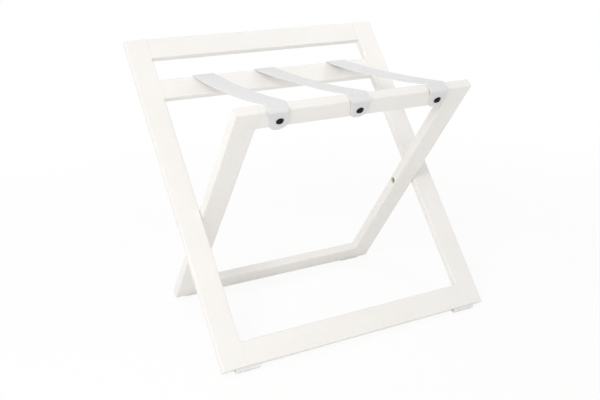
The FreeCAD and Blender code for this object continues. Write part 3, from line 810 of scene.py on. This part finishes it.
class STAND_OT_fit_strap_screws(bpy.types.Operator):
    """Models one domed screw and sets a copy of it in each end of each strap"""
    bl_idname = "stand.fit_strap_screws"
    bl_label = "Fit strap screws"

    def execute(self, context):
        finish = strap_screw_black()
        pattern = screw_model("strap_screw_pattern")
        # a head stands in the dent that it presses into the strap
        lift = STRAP_CLEARANCE + settings("straps").thickness - HEAD_DENT
        for node, rail, body in (("rear_strap_screws", "strap_rail", OUTER),
                                 ("front_strap_screws", "seat_rail", INNER)):
            low, high = own_span(rail, body)
            # the screws are in the lower face
            side = -LEANING[body]
            face = Matrix.Rotation(0 if side == 1 else math.pi, 4, "X")
            height = side * ((high.z - low.z) / 2 + lift)
            for number, place in enumerate(row_of_places(node)):
                screw = pattern.copy()
                screw.data = pattern.data.copy()
                context.collection.objects.link(screw)
                screw.name = f"{node[:-1]}_{number + 1}"
                turn = Matrix.Rotation(TIGHT_AT[body] + TIGHT_STEP * number, 4, "Z")
                spot = Matrix.Translation((place, high.y - SCREW_DROPS[rail], height))
                screw.data.transform(own_axes(body) @ spot @ face @ turn)
                dress(screw, finish)
                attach(screw, body)
                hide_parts(node)
        bpy.data.objects.remove(pattern)
        return {"FINISHED"}


# ------------------------------------------------------------------ the pivots
BRASS = (0.62, 0.44, 0.19)
NYLON = (0.82, 0.82, 0.79)


def turned_metal(name, colour, low, high):
    """Metal with fine turning rings about the pivot axis and a little tarnish."""
    material, tree, shader = new_material(name, Metallic=1.0)
    place = own_place(tree, PIVOT)
    worn = lay(tree, "handling", Vector=place, Scale=260.0, Low=low, High=high)
    rings = put(tree, "ShaderNodeTexWave", {"Vector": place, "Scale": 900.0, "Distortion": 0.4},
                wave_type="RINGS", rings_direction="X").outputs["Fac"]
    shade = marked(tree, worn, colour, share=0.6, level=0.45)
    coat(tree, shader, shade, worn["Roughness"], rings, strength=0.15, depth=0.00005)
    return material


def washer_nylon():
    """Natural nylon, slightly mottled."""
    material, tree, shader = new_material(
        "washer_nylon", Subsurface_Weight=0.2, Subsurface_Radius=(1.0, 1.0, 1.0),
        Subsurface_Scale=0.002)
    worn = lay(tree, "handling", Vector=own_place(tree, PIVOT), Scale=160.0, Low=0.4, High=0.55)
    shade = marked(tree, worn, NYLON, share=0.4, level=0.85)
    coat(tree, shader, shade, worn["Roughness"])
    return material


class STAND_OT_finish_pivots(bpy.types.Operator):
    """Gives the pivot bolts, threaded inserts and washers their metal and nylon finishes"""
    bl_idname = "stand.finish_pivots"
    bl_label = "Finish pivots"

    def execute(self, context):
        bronze = turned_metal("pivot_bronze", settings("metal").bronze, low=0.3, high=0.55)
        brass = turned_metal("insert_brass", BRASS, low=0.25, high=0.4)
        finishes = {
            "pivot_bolt_left": (bronze, "bronze_bolt"),
            "pivot_bolt_right": (bronze, "bronze_bolt"),
            "threaded_inserts": (brass, "insert_brass"),
            "pivot_washers": (washer_nylon(), "washer_nylon"),
        }
        for node, (material, slot) in finishes.items():
            dress(frame["nodes"][node], material)
        return {"FINISHED"}


# ------------------------------------------------------------------ the foot pads
FOOT_PADS = {"front_foot_pad_left": OUTER, "front_foot_pad_right": OUTER,
             "rear_foot_pad_left": INNER, "rear_foot_pad_right": INNER}
# the recess in a pad's face: the border around it, the width of its slope and its depth
RECESS_BORDER, RECESS_SLOPE, RECESS_DEPTH = 0.0016, 0.0003, 0.0004


def milky_plastic():
    """Translucent moulded plastic with a faint satin texture."""
    material, tree, shader = new_material(
        "foot_plastic_milky", Subsurface_Weight=0.35, Subsurface_Radius=(1.0, 1.0, 1.0),
        Subsurface_Scale=0.004)
    worn = lay(tree, "handling", Vector=object_place(tree), Scale=110.0, Low=0.28, High=0.46)
    shade = marked(tree, worn, settings("feet").colour, share=0.35, level=0.86)
    coat(tree, shader, shade, worn["Roughness"], worn["Height"], strength=0.2, depth=0.0001)
    return material


def foot_pad(node, body):
    """A moulded plate under a board's end, with a level tread and a recess in its outer face."""
    low, high = own_span(node, body)
    bpy.ops.mesh.primitive_cube_add(size=1, location=(low + high) / 2, scale=high - low)
    piece = new_piece(f"{node}_moulded")
    bpy.ops.object.transform_apply(location=True, rotation=True, scale=True)
    # the floor, and the way up from it, in the frame's own axes
    to_own = own_axes(body).inverted()
    floor, up = to_own @ Vector((0, 0, 0)), to_own.to_3x3() @ Vector((0, 0, 1))
    bpy.ops.object.mode_set(mode="EDIT")
    bpy.ops.mesh.select_all(action="SELECT")
    bpy.ops.mesh.bisect(plane_co=floor, plane_no=up, use_fill=True, clear_inner=True)
    choose(piece, "faces", lambda face: abs(face.normal.z) > 0.9 and face.normal.z * up.z > 0)
    bpy.ops.mesh.inset(thickness=RECESS_BORDER, depth=0)
    bpy.ops.mesh.inset(thickness=RECESS_SLOPE, depth=-RECESS_DEPTH)
    bpy.ops.object.mode_set(mode="OBJECT")
    round_edges(piece, settings("feet").rounding, segments=3, degrees=40)
    piece.data.transform(own_axes(body))
    smooth(piece, 40)
    return piece


class STAND_OT_fit_foot_pads(bpy.types.Operator):
    """Models the four foot pads under the bottom rails"""
    bl_idname = "stand.fit_foot_pads"
    bl_label = "Fit foot pads"

    def execute(self, context):
        plastic = milky_plastic()
        for node, body in FOOT_PADS.items():
            piece = foot_pad(node, body)
            dress(piece, plastic)
            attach(piece, body)
            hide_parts(node)
        return {"FINISHED"}


# ------------------------------------------------------------------ the stage
WHITE = (1, 1, 1, 1)
FLOOR_SIZE = 40
# how much of the floor's own shade the eye sees near the stand, and how far out it is all white
FLOOR_SHARE, WHITE_FROM, WHITE_BEYOND = 0.14, 0.55, 1.8
ROOM_COLOUR = (1.0, 0.995, 0.985, 1)
# each lamp's power setting, place, size, the point that it faces and its spread in degrees
LAMPS = {
    "key_lamp": ("key", (-1.75, -1.5, 1.7), 1.0, (0, 0, 0.25), 180),
    "back_lamp": ("back", (-0.4, 1.6, 2.2), 1.6, (0, 0, 0.25), 180),
    "backrest_lamp": ("backrest", (0.7, -0.55, 1.1), 0.2, (0.22, 0.2, 0.53), 40),
}
CAMERA_PLACE = Vector((-0.7511, -1.3811, 0.7087))
CAMERA_HEADING, CAMERA_PITCH, CAMERA_ROLL = (math.radians(a) for a in (28.107, -17.464, -1.435))
SENSOR_WIDTH = 36


def seen_share(tree):
    """1 for camera, mirror and see-through rays, 0 for those that carry light."""
    path = put(tree, "ShaderNodeLightPath").outputs
    seen = reckon(tree, "MAXIMUM", path["Is Camera Ray"], path["Is Glossy Ray"])
    return reckon(tree, "MAXIMUM", seen, path["Is Transmission Ray"])


def floor_material():
    """A pale floor that is nearly white to the eye and still takes shadows."""
    pale = settings("stage").floor
    material, tree, shader = new_material("studio_floor", Roughness=0.9)
    place = object_place(tree)
    patches = fade(tree, noise(tree, place, 1.6), 0.3, 0.7, high=0.5)
    feed(tree, shader, {"Base Color": tint(tree, patches, rgba(pale), rgba(pale, 0.985))})
    glow = put(tree, "ShaderNodeEmission", {"Color": WHITE, "Strength": 1.0})
    away = put(tree, "ShaderNodeVectorMath", {0: place}, operation="LENGTH").outputs["Value"]
    white = fade(tree, away, WHITE_FROM, WHITE_BEYOND, 1.0 - FLOOR_SHARE, 1.0)
    share = reckon(tree, "MULTIPLY", seen_share(tree), white)
    mix = put(tree, "ShaderNodeMixShader", {0: share, 1: shader.outputs[0], 2: glow.outputs[0]})
    feed(tree, tree.nodes["Material Output"], {"Surface": mix.outputs[0]})
    return material


def room_light():
    """The even light of a pale room that is plain white where it is seen."""
    world = bpy.data.worlds.new("studio_room")
    world.use_nodes = True
    tree = world.node_tree
    lit = tree.nodes["Background"]
    feed(tree, lit, {"Color": ROOM_COLOUR, "Strength": settings("stage").sky})
    seen = put(tree, "ShaderNodeBackground", {"Color": WHITE, "Strength": 1.0})
    mix = put(tree, "ShaderNodeMixShader",
              {0: seen_share(tree), 1: lit.outputs[0], 2: seen.outputs[0]})
    feed(tree, tree.nodes["World Output"], {"Surface": mix.outputs[0]})
    bpy.context.scene.world = world


def add_lamp(name, power, place, size, aim, spread):
    """A soft square lamp that faces a point, with its light kept within a spread."""
    bpy.ops.object.light_add(type="AREA", location=place)
    lamp = bpy.context.object
    lamp.name = name
    lamp.data.shape = "SQUARE"
    lamp.data.size = size
    lamp.data.energy = getattr(settings("stage"), power)
    lamp.data.spread = math.radians(spread)
    lamp.rotation_euler = (Vector(aim) - Vector(place)).to_track_quat("-Z", "Y").to_euler()


def add_camera():
    """The camera, at the height, heading and tilt that the stand is seen from."""
    heading = Vector((math.sin(CAMERA_HEADING) * math.cos(CAMERA_PITCH),
                      math.cos(CAMERA_HEADING) * math.cos(CAMERA_PITCH), math.sin(CAMERA_PITCH)))
    level = heading.cross(Vector((0, 0, 1))).normalized()
    upright = level.cross(heading)
    across = level * math.cos(CAMERA_ROLL) + upright * math.sin(CAMERA_ROLL)
    up = upright * math.cos(CAMERA_ROLL) - level * math.sin(CAMERA_ROLL)
    turn = Matrix((across, up, -heading)).transposed()
    bpy.ops.object.camera_add(location=CAMERA_PLACE, rotation=turn.to_euler())
    camera = bpy.context.object
    camera.name = "stand_camera"
    camera.data.sensor_width = SENSOR_WIDTH
    camera.data.lens = settings("stage").lens
    bpy.context.scene.camera = camera


class STAND_OT_set_stage(bpy.types.Operator):
    """Adds the floor, the soft light and the camera"""
    bl_idname = "stand.set_stage"
    bl_label = "Set stage"

    def execute(self, context):
        context.scene.view_settings.view_transform = "Standard"
        bpy.ops.mesh.primitive_plane_add(size=FLOOR_SIZE, location=(0, 0, 0))
        floor = new_piece("floor")
        dress(floor, floor_material())
        room_light()
        for name, facts in LAMPS.items():
            add_lamp(name, *facts)
        add_camera()
        return {"FINISHED"}


# ------------------------------------------------------------------ panel and registration
STEPS = (STAND_OT_paint_boards, STAND_OT_fit_straps, STAND_OT_fit_strap_screws,
         STAND_OT_finish_pivots, STAND_OT_fit_foot_pads, STAND_OT_set_stage)


class STAND_PT_panel(bpy.types.Panel):
    """Lists the steps and settings in the 3D view's sidebar"""
    bl_label = "Luggage stand"
    bl_idname = "STAND_PT_panel"
    bl_space_type = "VIEW_3D"
    bl_region_type = "UI"
    bl_category = "Stand"

    def draw(self, context):
        for step in STEPS:
            self.layout.operator(step.bl_idname)
        for name, group in SETTINGS.items():
            box = self.layout.box()
            for field in group.__annotations__:
                box.prop(settings(name), field)


CLASSES = (*SETTINGS.values(), *STEPS, STAND_PT_panel)


def register():
    for item in CLASSES:
        bpy.utils.register_class(item)
    for name, group in SETTINGS.items():
        setattr(bpy.types.Scene, f"stand_{name}", bpy.props.PointerProperty(type=group))


def unregister():
    for name in SETTINGS:
        delattr(bpy.types.Scene, f"stand_{name}")
    for item in reversed(CLASSES):
        bpy.utils.unregister_class(item)


def main():
    register()
    for make_effect in EFFECTS:
        make_effect()
    bpy.ops.stand.paint_boards()
    bpy.ops.stand.fit_straps()
    bpy.ops.stand.fit_strap_screws()
    bpy.ops.stand.finish_pivots()
    bpy.ops.stand.fit_foot_pads()
    bpy.ops.stand.set_stage()


if __name__ == "__main__":
    main()
